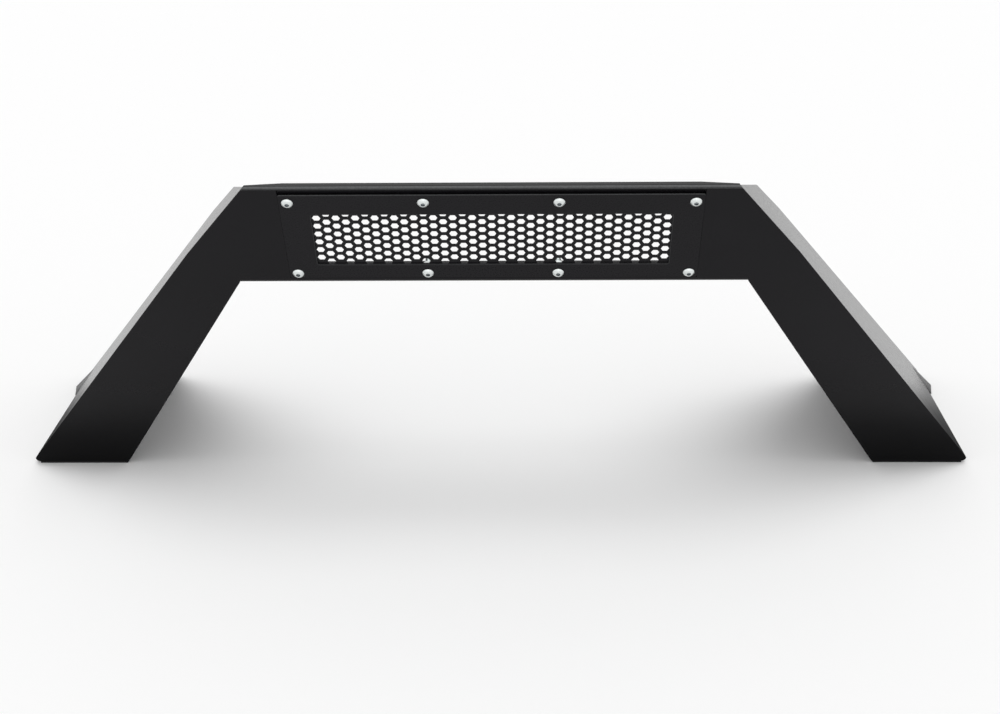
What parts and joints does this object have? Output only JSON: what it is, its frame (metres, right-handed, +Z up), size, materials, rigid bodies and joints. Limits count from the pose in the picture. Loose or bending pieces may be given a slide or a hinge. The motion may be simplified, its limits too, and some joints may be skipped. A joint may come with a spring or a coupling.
{
  "type": "headache rack",
  "caption": "Leaning sheet-steel headache rack for a pickup bed: an arch on two box legs with slotted feet and a bolted perforated hexagon-mesh insert in its crossbar.",
  "frame": {"origin": "on the plane where the rubber pads rest on the bed rails, in the middle of the rack's box", "axes": "+X to the right seen from the front, +Z up; the front face with the insert looks to -Y and leans towards it"},
  "size_m": [1.676, 0.6937, 0.6],
  "materials": {
    "powder_coat": "fine-textured satin black powder coat on steel sheet",
    "insert_coat": "satin black powder coat on the bolted insert and its mesh",
    "zinc": "bright zinc-plated button-head bolts, washers and nuts",
    "rubber": "matt black EPDM rubber pads"
  },
  "bodies": {
    "root": {"crossbar_channel": "powder_coat", "crossbar_rib_left": "powder_coat", "crossbar_rib_right": "powder_coat", "insert_rail_upper": "powder_coat", "insert_rail_lower": "powder_coat", "insert_cover": "insert_coat", "mesh_sheet": "insert_coat", "insert_bolts": "zinc", "insert_washers": "zinc", "insert_nuts": "zinc", "leg_face_left": "powder_coat", "leg_face_right": "powder_coat", "leg_outer_left": "powder_coat", "leg_outer_right": "powder_coat", "leg_inner_left": "powder_coat", "leg_inner_right": "powder_coat", "leg_cap_left": "powder_coat", "leg_cap_right": "powder_coat", "leg_rib_upper_left": "powder_coat", "leg_rib_upper_right": "powder_coat", "leg_rib_lower_left": "powder_coat", "leg_rib_lower_right": "powder_coat", "base_plate_left": "powder_coat", "base_plate_right": "powder_coat", "rail_pad_left": "rubber", "rail_pad_right": "rubber"}
  },
  "joints": []
}
